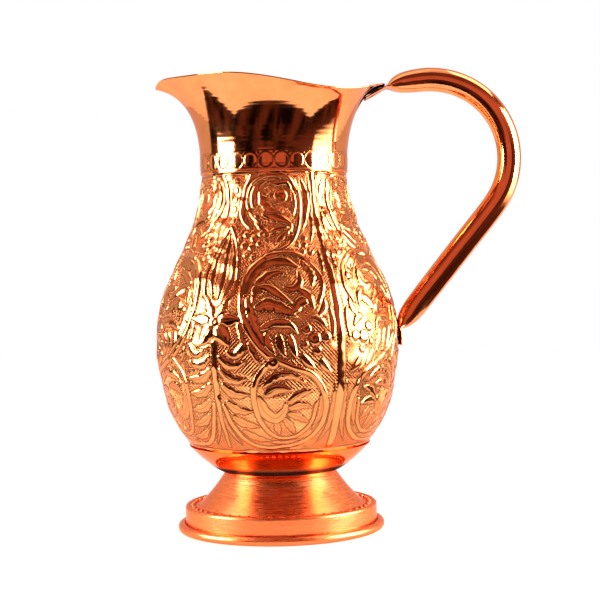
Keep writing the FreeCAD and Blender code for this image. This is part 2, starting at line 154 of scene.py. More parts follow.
def mouth_outline(azimuth, station):
    """(radius, height) of the neck's outer skin: station -1 to 0 is the lap, 0 to 1 the flare."""
    overhang, rise, lean, lip_pole, pull, fullness = mouth_shape(azimuth)
    lean = np.radians(lean)
    rim = np.stack([THROAT_RADIUS + overhang * MM, THROAT_HEIGHT + rise * MM], -1)
    throat = np.broadcast_to(np.array([THROAT_RADIUS + FILM + WALL, THROAT_HEIGHT]), rim.shape)
    upright = np.stack([0 * pull, pull], -1) * MM
    lip = np.stack([np.cos(lean), np.sin(lean)], -1) * lip_pole[..., None] * MM
    fuller = np.stack([fullness, 0 * fullness], -1) * MM
    flare = cubic((throat, throat + upright, rim - lip + fuller, rim), np.maximum(station, 0))
    lap_height = THROAT_HEIGHT + station * LAP_DEPTH + 0 * rise
    lap = np.stack([pear_radius(lap_height) + FILM + WALL, lap_height], -1)
    return np.where((station >= 0)[..., None], flare, lap)


# ---------------------------------------------------------------- mesh helpers


def turn(profile, azimuths):
    """A grid of points from (radius, height) values, rows along the profile, columns round the axis."""
    radius, height = profile[..., 0], profile[..., 1]
    angle = np.radians(azimuths)
    return np.stack([radius * np.cos(angle), radius * np.sin(angle), height + 0 * angle], -1)


def grid_normals(points):
    """Outward normals of a grid that closes round the axis."""
    around = np.roll(points, -1, axis=1) - np.roll(points, 1, axis=1)
    along = np.gradient(points, axis=0)
    normal = np.cross(around, along)
    return normal / np.maximum(np.linalg.norm(normal, axis=-1, keepdims=True), 1e-12)


def sheet_piece(name, loops, values=None):
    """A closed skin from a grid of points whose rows run out along one side of the sheet and back
    along the other; columns close round the axis, and the last row joins the first."""
    rows, columns = loops.shape[:2]
    index = np.arange(rows * columns).reshape(rows, columns)
    right = np.roll(index, -1, axis=1)
    above = np.roll(index, -1, axis=0)
    corner = np.roll(right, -1, axis=0)
    faces = np.stack([index, right, corner, above], -1).reshape(-1, 4)
    mesh = bpy.data.meshes.new(name)
    mesh.vertices.add(rows * columns)
    mesh.vertices.foreach_set("co", loops.reshape(-1).astype(np.float32))
    mesh.loops.add(faces.size)
    mesh.loops.foreach_set("vertex_index", faces.reshape(-1))
    mesh.polygons.add(len(faces))
    mesh.polygons.foreach_set("loop_start", np.arange(0, faces.size, 4))
    mesh.polygons.foreach_set("use_smooth", np.ones(len(faces), bool))
    mesh.update(calc_edges=True)
    mesh.validate()
    for key, data in (values or {}).items():
        flat = data.ndim == 2
        attribute = mesh.attributes.new(key, "FLOAT" if flat else "FLOAT_VECTOR", "POINT")
        attribute.data.foreach_set("value" if flat else "vector", data.reshape(-1).astype(np.float32))
    piece = bpy.data.objects.new(name, mesh)
    bpy.context.scene.collection.objects.link(piece)
    return piece


def round_edge(outer, inner, steps=3):
    """Rows that roll a sheet's cut edge over, between its last outer row and its last inner row."""
    middle, half = (outer + inner) / 2, (outer - inner) / 2
    thickness = np.linalg.norm(half, axis=-1, keepdims=True)
    ahead = np.cross(half, np.roll(middle, -1, axis=0) - np.roll(middle, 1, axis=0))
    ahead = ahead / np.linalg.norm(ahead, axis=-1, keepdims=True) * thickness
    angles = np.linspace(0, math.pi, steps + 2)[1:-1, None, None]
    return middle + half * np.cos(angles) + ahead * np.sin(angles)


# ---------------------------------------------------------------- embossing

# The pattern repeats every 120 degrees and is its own mirror image, so it is drawn once over 60 degrees,
# from the axis of a flower (x = 0) to the plain rib between two panels (x = 60). Heights in it are
# stretched like those of a conformal map, so one unit is one degree of turn both ways and a circle stays
# round: 1.2 mm at the belly's widest and 0.7 mm under the neck. y = 0 is the widest circle.
PANEL_DEG = 60
PATTERN_LOW, PATTERN_HIGH = -57.0, 106.0
HALF_COLUMNS = 150
LINE_HALF_WIDTH = 0.38
EDGE_RAMP = 0.45
VEIN_PITCH = 1.9
# A leaf's veins and lobes lean towards its tip by this much for each unit away from its spine. Where two
# lobes meet, the leaf loses NOTCH_SHARE of its width and DIP_SHARE of its height.
VEIN_LEAN = 0.45
NOTCH_SHARE = 0.2
DIP_SHARE = 0.22
RIB_HALF_WIDTH = 2.3
UPPER_EDGE_WIDTH = 3.0
LOWER_EDGE_WIDTH = 3.2
MARGIN_RAMP = 1.2
# Heights in mm: how deep the low ground lies under the sheet's own surface, how much every form stands
# over it, how deep the tools cut, how much further the rib and the pattern's plain edges stand, and where
# the margins beyond them lie.
SUNK_MM = 0.32
FORM_MM = 0.1
OUTLINE_MM = 0.14
MIDRIB_MM = 0.1
CHASED_MM = 0.07
VEIN_MM = 0.09
PUNCH_MM = 0.3
RIB_MM = 0.6
PLAIN_EDGE_MM = 0.4
MARGIN_MM = -0.02
# The relief gets lower as the belly narrows, by this power of its radius. Under the widest circle it also
# falls to LOW_SHARE, over LOW_RUN of the pattern.
NARROWING_POWER = 0.65
LOW_SHARE = 0.55
LOW_RUN = 30
# Hammering leaves waves of many pitches, each this steep.
WAVE_COUNT = 60
WAVE_PITCHES_DEG = (4.5, 26)
WAVE_STEEPNESS = 0.0026
# The inside keeps only every fifth row of the belly, and every third of the neck.
BELLY_INSIDE_STEP = 5
NECK_INSIDE_STEP = 3

# The flower's heart and lower petal, which lie over its stem.
FLOWER_HEART = (0.0, 11.5, 2.7, 0.8, True)
LOWER_PETAL = ([(0.9, 10), (4.6, 5), (7.6, 0.8)], 3.9, 0.72, 0, 0)

# The vine that runs down the panel and the curls that leave it: line, half-widths at its ends, rise in mm.
VINES = [
    ([(45, 99), (48, 87), (47, 73), (41, 57), (31, 49), (20, 42), (14.2, 33), (12.8, 21), (16, 9), (25, -3),
      (36, -8.5), (47, -14), (53, -26), (51, -40), (42, -49), (28, -52), (14, -50), (6.5, -39), (3, -27)],
     1.9, 1.3, 0.62),
    ([(46, 92), (42, 100), (33, 103.2), (21, 102), (12, 95), (9.6, 85), (12.5, 75), (19, 68)],
     1.7, 0.9, 0.55),
    ([(25, 46), (35, 48), (45, 45), (52, 37), (53.5, 28), (50.5, 20)], 1.9, 1.3, 0.62),
    ([(27, -6), (20, -14), (18.2, -24), (21, -36), (28, -44.5), (38, -45), (46, -37), (48.3, -26)],
     1.6, 1.0, 0.55),
    # ribbons beside the chain, the ogee arch over the flower, the flower's stem
    ([(13.5, 105), (9, 96), (6.6, 86), (6.0, 77), (8.6, 70), (13, 65.5)], 2.2, 1.8, 0.5),
    ([(0, 66), (4.6, 57), (8.2, 46), (9.4, 35), (8.4, 26), (4.5, 21)], 1.4, 1.2, 0.5),
    ([(0, 2), (0, -20), (0, -52)], 2.0, 0.9, 0.45),
]
# Leaves: spine, half-width, rise in mm, lobes along the edge, chased lines beside the midrib.
LEAVES = [
    # upper circle
    ([(14.5, 78), (14.0, 88), (18, 96), (26, 99)], 2.3, 0.5, 0, 1),
    ([(26, 97.5), (33, 97), (39, 97), (43.5, 90)], 2.4, 0.45, 4, 0),
    ([(43, 92), (44, 82), (42.5, 72)], 2.3, 0.45, 5, 0),
    ([(19, 91), (21.5, 83), (27, 77), (36, 75.5)], 3.6, 0.5, 4, 0),
    ([(16, 74), (20, 66), (27, 59)], 2.7, 0.45, 4, 0),
    ([(38.5, 65), (31, 63.5), (24.5, 60)], 2.3, 0.5, 2, 0),
    ([(39, 62.5), (33.5, 58), (29.5, 53)], 2.2, 0.5, 2, 0),
    ([(40, 60.5), (38, 55.5), (36, 52)], 1.7, 0.45, 0, 0),
    ([(20.5, 74.5), (25.6, 73), (33.1, 71.3), (39.5, 67), (40.5, 60.5)], 2.9, 0.68, 0, 1),
    # between the circles and the rib
    ([(50.5, 101), (54, 87), (51.5, 72), (47.5, 62)], 2.6, 0.45, 7, 0),
    ([(56.5, 103), (57, 92), (56, 80)], 1.3, 0.35, 0, 0),
    ([(55.8, 76), (55, 64), (51.5, 53)], 1.8, 0.45, 4, 0),
    ([(55.5, 50), (56, 42), (55.5, 34)], 1.5, 0.4, 4, 0),
    # middle circle: two arcs of acanthus, the two fish-shaped leaves, the fold, the fan
    ([(14.8, 24), (16.6, 35.5), (24, 42), (34, 43), (43, 38.5)], 3.7, 0.6, 0, 4),
    ([(18.5, 20), (21, 30), (27.5, 36), (36, 36.5)], 2.8, 0.5, 5, 0),
    ([(44.5, 42.5), (48.8, 35.5), (48, 28)], 2.8, 0.5, 5, 0),
    ([(19, 17), (26, 19.5), (33, 17), (39.5, 13)], 3.9, 0.6, 4, 1),
    ([(15.6, 23), (17.9, 13.5), (21.8, 5), (27.5, -1.5)], 2.9, 0.5, 6, 0),
    ([(33, 28.5), (38.6, 27), (41.9, 31.5), (41, 38.5)], 2.2, 0.62, 0, 1),
    ([(20, 28.5), (25.5, 28), (31.5, 24), (37.5, 19.5)], 2.4, 0.68, 0, 1),
    ([(37.6, 15.4), (41.5, 20.5), (48.2, 22.6)], 3.1, 0.8, 2, 1),
    ([(40.4, 27.2), (45.2, 23.8), (47.6, 17.2)], 2.2, 0.65, 0, 1),
    ([(24.8, 7), (25.6, 2), (28.8, -4)], 2.0, 0.45, 0, 0),
    ([(30.2, 6.5), (31.2, 1), (33.4, -4.8)], 2.1, 0.45, 0, 0),
    ([(35.2, 6), (36.4, 0.5), (38.4, -5.2)], 2.0, 0.45, 0, 0),
    ([(21.8, 8), (28.6, 11), (35.8, 10), (39.4, 5.5)], 2.5, 0.65, 2, 0),
    ([(45.8, 13), (49.6, 12.2), (53, 8)], 1.9, 0.6, 0, 0),
    ([(49.4, 13.5), (52.6, 17), (53.4, 22.5)], 1.7, 0.5, 0, 0),
    # under the middle circle
    ([(40.5, -3), (43, -6.6), (47, -10)], 1.9, 0.5, 0, 0),
    ([(49.5, -5.5), (51.5, -9), (55.2, -12.5)], 1.9, 0.5, 0, 0),
    ([(55.6, 18), (56.3, 10), (55.6, 2)], 1.4, 0.4, 0, 0),
    # lower circle
    ([(22.5, -18), (28, -13.6), (36, -12.8), (44, -17.5)], 2.3, 0.45, 7, 0),
    ([(23, -22.5), (29, -19), (37, -19.5)], 2.3, 0.45, 0, 1),
    ([(34.2, -26), (40, -21.5), (46.3, -20)], 2.3, 0.5, 3, 0),
    ([(34.5, -28.5), (41, -27), (46.6, -28.5)], 2.4, 0.5, 3, 0),
    ([(34, -31), (39.5, -33), (44.6, -36.5)], 2.3, 0.5, 3, 0),
    ([(32, -33), (35.5, -38), (38, -43.2)], 2.2, 0.5, 3, 0),
    ([(28.5, -35), (29, -39), (30, -43.6)], 1.9, 0.45, 2, 0),
    ([(20.5, -22), (23, -30), (28.3, -33.6), (32.5, -29.5), (33, -25)], 3.0, 0.5, 0, 0),
    ([(50.5, -20), (50.6, -31), (46.8, -41)], 1.8, 0.4, 8, 0),
    ([(24, -47.6), (33, -49), (43, -46.3)], 1.6, 0.4, 8, 0),
    ([(56.8, -16), (57, -28), (55.6, -40), (51, -50)], 1.7, 0.4, 6, 0),
    # both sides of the stem
    ([(1.8, -3.5), (8, -7.8), (15.8, -6.2)], 2.6, 0.5, 3, 0),
    ([(2, -9.5), (8.4, -14.4), (16, -14)], 2.6, 0.5, 3, 0),
    ([(2.6, -16.5), (9, -21.2), (16.4, -21.4)], 2.6, 0.5, 3, 0),
    ([(4.2, -24.5), (10, -29), (17.6, -30)], 2.6, 0.5, 3, 0),
    ([(6.6, -32), (12, -36.5), (20.6, -38.6)], 2.5, 0.5, 3, 0),
    ([(10.5, -40.5), (17, -45.4), (25.6, -47)], 2.3, 0.5, 3, 0),
    ([(1.6, -30), (3.2, -40), (8.5, -51)], 1.2, 0.35, 5, 0),
    # between the flower and the middle circle
    ([(12.6, 16), (12.4, 8), (15.8, 0.5)], 1.5, 0.45, 3, 0),
    ([(16.6, 2.5), (19.5, -3.5), (22.6, -8.5)], 1.6, 0.45, 3, 0),
    ([(5.8, -1.5), (10.4, -3.2), (14.6, 1.2), (12.4, 5)], 2.3, 0.55, 2, 0),
    # the bundle of long leaves under the arch
    ([(3, 23), (6.2, 33), (5.8, 45), (2.4, 58)], 1.9, 0.5, 0, 1),
    ([(0, 22), (0, 40), (0, 62)], 2.4, 0.55, 0, 1),
    # the flower's petals
    ([(1.2, 13), (3.4, 17.8), (6.2, 21.4)], 3.0, 0.55, 3, 0),
    ([(1.6, 11.6), (7, 12.6), (13, 12.8)], 3.3, 0.68, 0, 0),
    LOWER_PETAL,
]
# Round bosses: grapes, buds and the chain's beads: centre, radius, rise in mm, and whether a dot is
# punched in the middle.
BOSSES = [
    (11.5, 60.3, 2.4, 0.5, True), (16.6, 57.4, 2.5, 0.5, True), (21.2, 60.2, 2.2, 0.5, True),
    (7.2, 57.2, 2.1, 0.5, True), (10.6, 53.4, 2.4, 0.5, True), (15.4, 52.2, 2.4, 0.5, True),
    (20.2, 54.2, 2.2, 0.5, True), (12.8, 47.6, 2.4, 0.5, True), (16.8, 45.6, 1.7, 0.5, True),
    (43, 53.4, 2.3, 0.5, True), (47.4, 53, 2.2, 0.5, True), (50.8, 48.6, 2.3, 0.5, True),
    (46, 48.6, 1.9, 0.5, True), (48.2, 57.6, 1.9, 0.5, True),
    (43.2, 7.8, 2.5, 0.55, True), (46.9, 3.4, 3.1, 0.6, True), (52.0, 4.0, 2.6, 0.55, True),
    (42.4, 0.9, 1.7, 0.5, True), (47.9, -2.0, 2.2, 0.55, True),
    (27.6, -7.2, 2.7, 0.55, True), (14.0, 17.6, 1.6, 0.5, True), (34.4, 87.6, 5.2, 0.7, False),
    (34.6, 86.8, 2.6, 0.75, True), (0, 99.5, 2.6, 0.5, True), (0, 92.4, 2.6, 0.5, True),
    (0, 85.6, 2.6, 0.5, True), (0, 78.4, 2.6, 0.5, True), (0, 70.6, 2.4, 0.5, True),
]


def smooth_line(points, steps=8):
    """A smooth line through a few points, as dense points."""
    points = np.array(points, float)
    padded = np.concatenate([2 * points[:1] - points[1:2], points, 2 * points[-1:] - points[-2:-1]])
    t = np.linspace(0, 1, steps, endpoint=False)[:, None]
    parts = []
    for a, b, c, d in zip(padded, padded[1:], padded[2:], padded[3:]):
        parts.append(0.5 * (2 * b + (c - a) * t + (2 * a - 5 * b + 4 * c - d) * t**2
                            + (3 * b - a - 3 * c + d) * t**3))
    return np.concatenate(parts + [points[-1:]])


class Relief:
    """Chased sheet: its height in mm over the low ground, how strongly a tool marked each place, and
    where the low ground is still bare. Every form is laid over those before it."""

    def __init__(self, x, y, height, mark, bare):
        self.x, self.y, self.height, self.mark, self.bare = x, y, height, mark, bare

    def near(self, low, high):
        """The part of the sheet round a form. Working on it works on the whole."""
        rows = slice(*np.searchsorted(self.y[:, 0], (low[1], high[1])))
        columns = slice(*np.searchsorted(self.x[0], (low[0], high[0])))
        return Relief(*(values[rows, columns] for values in
                        (self.x, self.y, self.height, self.mark, self.bare)))

    def along(self, line):
        """Distance to a line, the share of the way along it, and the side: -1 right, 1 left."""
        best = np.full(self.x.shape, 1e9)
        share = np.zeros_like(best)
        side = np.ones_like(best)
        lengths = np.linalg.norm(np.diff(line, axis=0), axis=1)
        run = np.concatenate([[0], np.cumsum(lengths)]) / lengths.sum()
        for (ax, ay), (bx, by), start, end in zip(line, line[1:], run, run[1:]):
            dx, dy = bx - ax, by - ay
            t = np.clip(((self.x - ax) * dx + (self.y - ay) * dy) / (dx * dx + dy * dy), 0, 1)
            away_x, away_y = self.x - ax - t * dx, self.y - ay - t * dy
            distance = np.hypot(away_x, away_y)
            closer = distance < best
            best = np.where(closer, distance, best)
            share = np.where(closer, start + (end - start) * t, share)
            side = np.where(closer, np.sign(dx * away_y - dy * away_x), side)
        return best, share, side

    def trace(self, offset, depth, strength=1.0):
        """A line traced where offset is zero."""
        line = bump(offset, LINE_HALF_WIDTH) * strength
        self.height -= depth * line
        self.mark[...] = np.maximum(self.mark, line)

    def lay(self, distance, width, shape):
        """A form that stands where distance is less than width, with a line traced round it."""
        inside = np.clip((width - distance) / EDGE_RAMP, 0, 1)
        self.height += (FORM_MM + shape - self.height) * inside
        self.mark *= 1 - inside
        self.bare *= 1 - inside
        self.trace(distance - width, OUTLINE_MM)

    def vine(self, points, start_width, end_width, rise):
        """A rounded stem along a line."""
        line = smooth_line(points)
        part = self.near(line.min(axis=0) - 4, line.max(axis=0) + 4)
        distance, share, _ = part.along(line)
        width = start_width + (end_width - start_width) * share
        part.lay(distance, width, rise * (1 - np.clip(distance / width, 0, 1) ** 2) ** 0.8)

    def leaf(self, points, half_width, rise, lobes, lines):
        """A leaf along a spine, full near its root and pointed, one half a little higher. Lobes notch its
        edge and bring veins with them; lines are chased beside its midrib."""
        line = smooth_line(points)
        part = self.near(line.min(axis=0) - half_width - 1, line.max(axis=0) + half_width + 1)
        length = np.linalg.norm(np.diff(line, axis=0), axis=1).sum()
        distance, share, side = part.along(line)
        slant = share - VEIN_LEAN * distance / length
        notch = 0.5 + 0.5 * np.cos(2 * math.pi * lobes * slant)
        swell = np.clip(np.sin(math.pi * share**0.75), 0, 1) ** 0.65
        width = half_width * swell * (1 - NOTCH_SHARE + NOTCH_SHARE * notch) + 0.05
        across = np.clip(distance / width, 0, 1)
        dome = (1 - across**2) * (1 - DIP_SHARE + DIP_SHARE * notch)
        part.lay(distance, width, rise * (dome + 0.18 * side * across * (1 - across)))
        deep = np.clip((width - distance) / 0.6, 0, 1) * np.clip((0.93 - share) / 0.1, 0, 1)
        part.trace(distance, MIDRIB_MM, 0.85 * deep)
        for number in range(lines):
            part.trace(distance - width * (number + 1) / (lines + 1), CHASED_MM, 0.7 * deep)
        if lobes:
            veins = (0.5 + 0.5 * np.cos(2 * math.pi * length / VEIN_PITCH * slant)) ** 3
            veins = veins * deep * np.clip(3 * across - 0.6, 0, 1)
            part.height -= VEIN_MM * veins
            part.mark[...] = np.maximum(part.mark, 0.7 * veins)

    def boss(self, x, y, radius, rise, punched):
        part = self.near((x - radius - 1, y - radius - 1), (x + radius + 1, y + radius + 1))
        distance = np.hypot(part.x - x, part.y - y)
        part.lay(distance, radius, rise * (1 - np.clip(distance / radius, 0, 1) ** 2) ** 0.7)
        if punched:
            dot = bump(distance, 0.36 * radius)
            part.height -= PUNCH_MM * dot
            part.mark[...] = np.maximum(part.mark, dot)


def emboss(x, y):
    """The relief of the whole pattern at pattern places."""
    relief = Relief(x, y, np.zeros_like(x), np.zeros_like(x), np.ones_like(x))
    for leaf in LEAVES:
        relief.leaf(*leaf)
    for vine in VINES:
        relief.vine(*vine)
    for boss in BOSSES:
        relief.boss(*boss)
    # The flower stands over its stem and the leaves beside it.
    relief.leaf(*LOWER_PETAL)
    relief.boss(*FLOWER_HEART)
    # the plain rib between panels, and the plain edges over and under the pattern
    across = np.clip((PANEL_DEG - x) / RIB_HALF_WIDTH, 0, 1)
    relief.lay(PANEL_DEG - x, RIB_HALF_WIDTH, RIB_MM * (1 - across**2))
    relief.lay(PATTERN_HIGH + 1 - y, UPPER_EDGE_WIDTH, PLAIN_EDGE_MM)
    relief.lay(y - PATTERN_LOW + 1, LOWER_EDGE_WIDTH, PLAIN_EDGE_MM)
    return relief


def hand_work(azimuths, places):
    """The slow unevenness that hammering leaves all round the sheet, in mm: waves of every heading that
    close round the axis."""
    chance = random.Random(7)
    wave = np.zeros((len(places), len(azimuths)))
    for _ in range(WAVE_COUNT):
        pitch = chance.uniform(*WAVE_PITCHES_DEG)
        heading = chance.uniform(0, math.pi)
        around = round(360 / pitch * math.cos(heading))
        up = 360 / pitch * math.sin(heading)
        phase = np.radians(around * azimuths[None, :] + up * places[:, None]) + chance.uniform(0, 2 * math.pi)
        wave += WAVE_STEEPNESS * pitch * np.sin(phase)
    return wave


def conformal_rows():
    """Heights of the belly's rows, evenly spaced in the pattern, and their places in it."""
    inside = PEAR[PEAR[:, 1] > BELLY_LOW.z]
    step = np.hypot(*np.diff(inside, axis=0).T)
    stretched = np.concatenate([[0], np.cumsum(np.degrees(step / ((inside[1:, 0] + inside[:-1, 0]) / 2)))])
    stretched -= np.interp(BELLY_HEIGHT, inside[:, 1], stretched)
    rows = np.arange(stretched[0], stretched[-1], PANEL_DEG / HALF_COLUMNS)
    return np.append(np.interp(rows, stretched, inside[:, 1]), THROAT_HEIGHT), np.append(rows, stretched[-1])


def embossed_belly():
    """The belly's sheet, embossed outside and following it inside."""
    heights, places = conformal_rows()
    columns = HALF_COLUMNS * 6
    azimuths = np.arange(columns) * 360 / columns
    folded = np.abs((azimuths + PANEL_DEG) % (2 * PANEL_DEG) - PANEL_DEG)
    half = np.linspace(0, PANEL_DEG, HALF_COLUMNS + 1)
    x, y = np.meshgrid(half, places)
    relief = emboss(x, y)
    # The plain margins inside the neck's and the bowl's laps stay close to the sheet's own surface.
    plain = np.clip(np.maximum(PATTERN_LOW + 1.5 - y, y - PATTERN_HIGH + 1.0) / MARGIN_RAMP, 0, 1)
    # Lower down the punches were struck less deep.
    struck = LOW_SHARE + (1 - LOW_SHARE) * ease((y + LOW_RUN) / LOW_RUN)
    size = (pear_radius(heights) / BELLY_RADIUS)[:, None] ** NARROWING_POWER * struck
    raised = (relief.height * size - SUNK_MM) * (1 - plain) + MARGIN_MM * plain
    take = np.round(folded / PANEL_DEG * HALF_COLUMNS).astype(int)
    height_map = (raised[:, take] + hand_work(azimuths, places) * (1 - plain[:, take])) * MM
    smooth = turn(np.stack([pear_radius(heights), heights], -1)[:, None, :], azimuths[None, :])
    normals = grid_normals(smooth)
    outer = smooth + normals * height_map[..., None]
    inner = (smooth + normals * (height_map[..., None] - WALL))[::-BELLY_INSIDE_STEP]
    shape = height_map.shape
    hatch = np.stack([np.broadcast_to(folded, shape), np.broadcast_to(places[:, None], shape),
                      np.zeros(shape)], -1)
    blank = np.zeros(inner.shape[:2])
    values = {"ground": relief.bare[:, take] * (1 - plain[:, take]), "mark": relief.mark[:, take],
              "outside": np.ones(shape)}
    values = {key: np.concatenate([data, blank]) for key, data in values.items()}
    values["hatch"] = np.concatenate([hatch, np.zeros(inner.shape)])
    return sheet_piece("belly_embossed", np.concatenate([outer, inner]), values)


# ---------------------------------------------------------------- neck

# The row of stamped discs, the dots and the line over it and the seam under it, in mm. The cut round a
# disc is a share of its size.
DISC_COUNT = 30
DISC_HALF_WIDTH = 3.9
DISC_HALF_HEIGHT = 4.1
DISC_HEIGHT = 204.8
DISC_RAISED = 0.2
DISC_CUT_SHARE = 0.09
DOT_HEIGHT = DISC_HEIGHT + DISC_HALF_HEIGHT - 0.3
DOT_RADIUS = 0.55
UPPER_LINE_HEIGHT = DISC_HEIGHT + DISC_HALF_HEIGHT + 0.8
UPPER_LINE_HALF_WIDTH = 0.3
UPPER_LINE_STRENGTH = 0.5
SEAM_HEIGHT = 200.4
SEAM_HALF_WIDTH = 0.32
STAMP_DEPTH = 0.16
RIDGE_COUNT = 14
RIDGE_PITCHES_MM = (1.1, 4.2)
RIDGE_STEEPNESS = 0.0008
NECK_COLUMNS = 720
LAP_ROWS = 14
FLARE_ROWS = 150


def stamping(azimuths, heights, radii):
    """The stamped row at the neck's foot, in mm, and how strongly the tools marked each place."""
    pitch = 360 / DISC_COUNT
    turned = (azimuths + pitch / 2) % pitch - pitch / 2
    sideways = np.radians(turned) * radii
    out = np.hypot(sideways / DISC_HALF_WIDTH, (heights - DISC_HEIGHT) / DISC_HALF_HEIGHT)
    raised = DISC_RAISED * np.clip(1 - out**2, 0, 1)
    disc_edge = bump(out - 1, DISC_CUT_SHARE)
    gap = np.radians(np.abs(turned) - pitch / 2) * radii
    dots = bump(np.hypot(gap, heights - DOT_HEIGHT), DOT_RADIUS)
    seam = bump(heights - SEAM_HEIGHT, SEAM_HALF_WIDTH)
    upper_line = UPPER_LINE_STRENGTH * bump(heights - UPPER_LINE_HEIGHT, UPPER_LINE_HALF_WIDTH)
    marks = np.maximum.reduce([disc_edge, dots, seam, upper_line])
    return raised - STAMP_DEPTH * marks, marks


def spinning(heights):
    """Level ridges that the spinning tool left, in mm."""
    chance = random.Random(3)
    ridges = np.zeros_like(heights)
    for _ in range(RIDGE_COUNT):
        pitch = chance.uniform(*RIDGE_PITCHES_MM)
        start = chance.uniform(0, 2 * math.pi)
        ridges += RIDGE_STEEPNESS * pitch * np.sin(2 * math.pi * heights / pitch + start)
    return ridges


def stamped_neck():
    """The neck's sheet, from its lap round the belly's throat to the rim."""
    azimuths = np.arange(NECK_COLUMNS) * 360 / NECK_COLUMNS
    stations = np.append(np.linspace(-1, 0, LAP_ROWS, endpoint=False), np.linspace(0, 1, FLARE_ROWS))
    outline = mouth_outline(azimuths[None, :], stations[:, None])
    smooth = turn(outline, azimuths[None, :])
    normals = grid_normals(smooth)
    heights = outline[..., 1] / MM
    raised, marks = stamping(azimuths[None, :], heights, outline[..., 0] / MM)
    raised = (raised + spinning(heights)) * MM
    outer = smooth + normals * raised[..., None]
    inner = (smooth + normals * (raised[..., None] - WALL))[::-NECK_INSIDE_STEP]
    edge = round_edge(outer[-1], inner[0])
    blank = np.zeros((len(edge) + len(inner), NECK_COLUMNS))
    values = {"mark": marks, "outside": np.ones(marks.shape)}
    values = {key: np.concatenate([data, blank]) for key, data in values.items()}
    return sheet_piece("neck_stamped", np.concatenate([outer, edge, inner]), values)


# ---------------------------------------------------------------- copper

COPPER = (0.90, 0.31, 0.105)
BELLY_COPPER = (0.84, 0.31, 0.105)
BOWL_COPPER = (0.86, 0.22, 0.06)
FOOT_COPPER = (0.88, 0.21, 0.065)
HANDLE_COPPER = (0.97, 0.31, 0.11)
TARNISH = (0.60, 0.12, 0.03)
GRIME = (0.10, 0.018, 0.005)
# Dark for soot at the handle's lower joint, and for painted shade at the waist and in the wedge under the
# neck's flare.
SOOT_AND_SHADE = (0.02, 0.012, 0.01)
# How the copper keeps its colour where it is seen nearly edge on.
EDGE_TINT = (1.0, 0.64, 0.58)

# Fineness of the noise patterns, in waves per metre.
TURNING_LINES = (25.0, 25.0, 2600.0)
SMEARS = 120.0
UNEVENNESS = 38.0
BUMP_DEPTH = 0.1 * MM
# Crossed punch marks: their fineness in the embossed pattern, and their depth as a share of BUMP_DEPTH.
HATCH_FINENESS = 3.7
HATCH_DEPTH = 1.2
# How much grime the traced lines, the punch marks and the whole low ground keep.
LINE_GRIME = 0.55
HATCH_GRIME = 0.55
GROUND_GRIME = 0.12

# Dark patches round the handle's ends: soot where the brazing torch blackened the lower joint, and painted
# shade in the dark wedge between the neck's flare and the handle's upper tab, on the tube and on the neck
# behind it. A patch fades out over the fade below, and its edge wanders by up to the ragged length.
UPPER_JOINT = (0.054, -0.003, 0.2435)
FAR_CORNER = (0.0575, 0.016, 0.245)
LOWER_JOINT = (0.066, 0.0, 0.112)
SOOT_AND_SHADE_FADE = 0.004
SOOT_AND_SHADE_RAGGED = 0.006
# The soldered joint of the bowl and the foot.
WAIST_HEIGHT = 0.0345
# Painted shade: the copper is painted dark in the corner at the waist, and that fades out between these
# heights over it, and in between those under it.
SHADE_FADE_OVER = (0.0020, 0.0046)
SHADE_FADE_UNDER = (-0.0009, -0.0003)


class Nodes:
    """Short calls for the nodes of one material or world."""

    def __init__(self, owner):
        owner.use_nodes = True
        self.owner = owner
        self.tree = owner.node_tree

    def add(self, kind, inputs=(), **settings):
        node = self.tree.nodes.new(kind)
        for key, setting in settings.items():
            setattr(node, key, setting)
        for socket, source in dict(inputs).items():
            self.feed(node.inputs[socket], source)
        return node

    def feed(self, socket, source):
        if isinstance(source, bpy.types.NodeSocket):
            self.tree.links.new(source, socket)
        else:
            socket.default_value = source

    def maths(self, operation, first, second=0.0):
        return self.add("ShaderNodeMath", {0: first, 1: second}, operation=operation).outputs[0]

    def scaled(self, value, factor):
        return self.maths("MULTIPLY", value, factor)

    def noise(self, vector, scale, detail=3.0, roughness=0.5):
        inputs = {"Vector": vector, "Scale": scale, "Detail": detail, "Roughness": roughness}
        return self.add("ShaderNodeTexNoise", inputs).outputs["Fac"]

    def spread(self, value, low, high, to_low, to_high):
        """A value's range from low to high spread over another range, and held at its ends."""
        inputs = {"Value": value, "From Min": low, "From Max": high, "To Min": to_low, "To Max": to_high}
        return self.add("ShaderNodeMapRange", inputs).outputs[0]

    def place(self):
        return self.add("ShaderNodeTexCoord").outputs["Object"]

    def stretched(self, vector, scale):
        return self.add("ShaderNodeMapping", {"Vector": vector, "Scale": scale}).outputs[0]

    def split(self, vector):
        return self.add("ShaderNodeSeparateXYZ", {"Vector": vector}).outputs

    def attribute(self, name, output="Fac"):
        return self.add("ShaderNodeAttribute", attribute_name=name).outputs[output]

    def blend(self, factor, first, second):
        node = self.add("ShaderNodeMix", data_type="RGBA")
        self.feed(node.inputs["Factor"], factor)
        for socket, colour in (("A", first), ("B", second)):
            target = next(i for i in node.inputs if i.name == socket and i.type == "RGBA")
            if not isinstance(colour, bpy.types.NodeSocket):
                colour = (*colour, 1.0)
            self.feed(target, colour)
        return next(o for o in node.outputs if o.type == "RGBA")


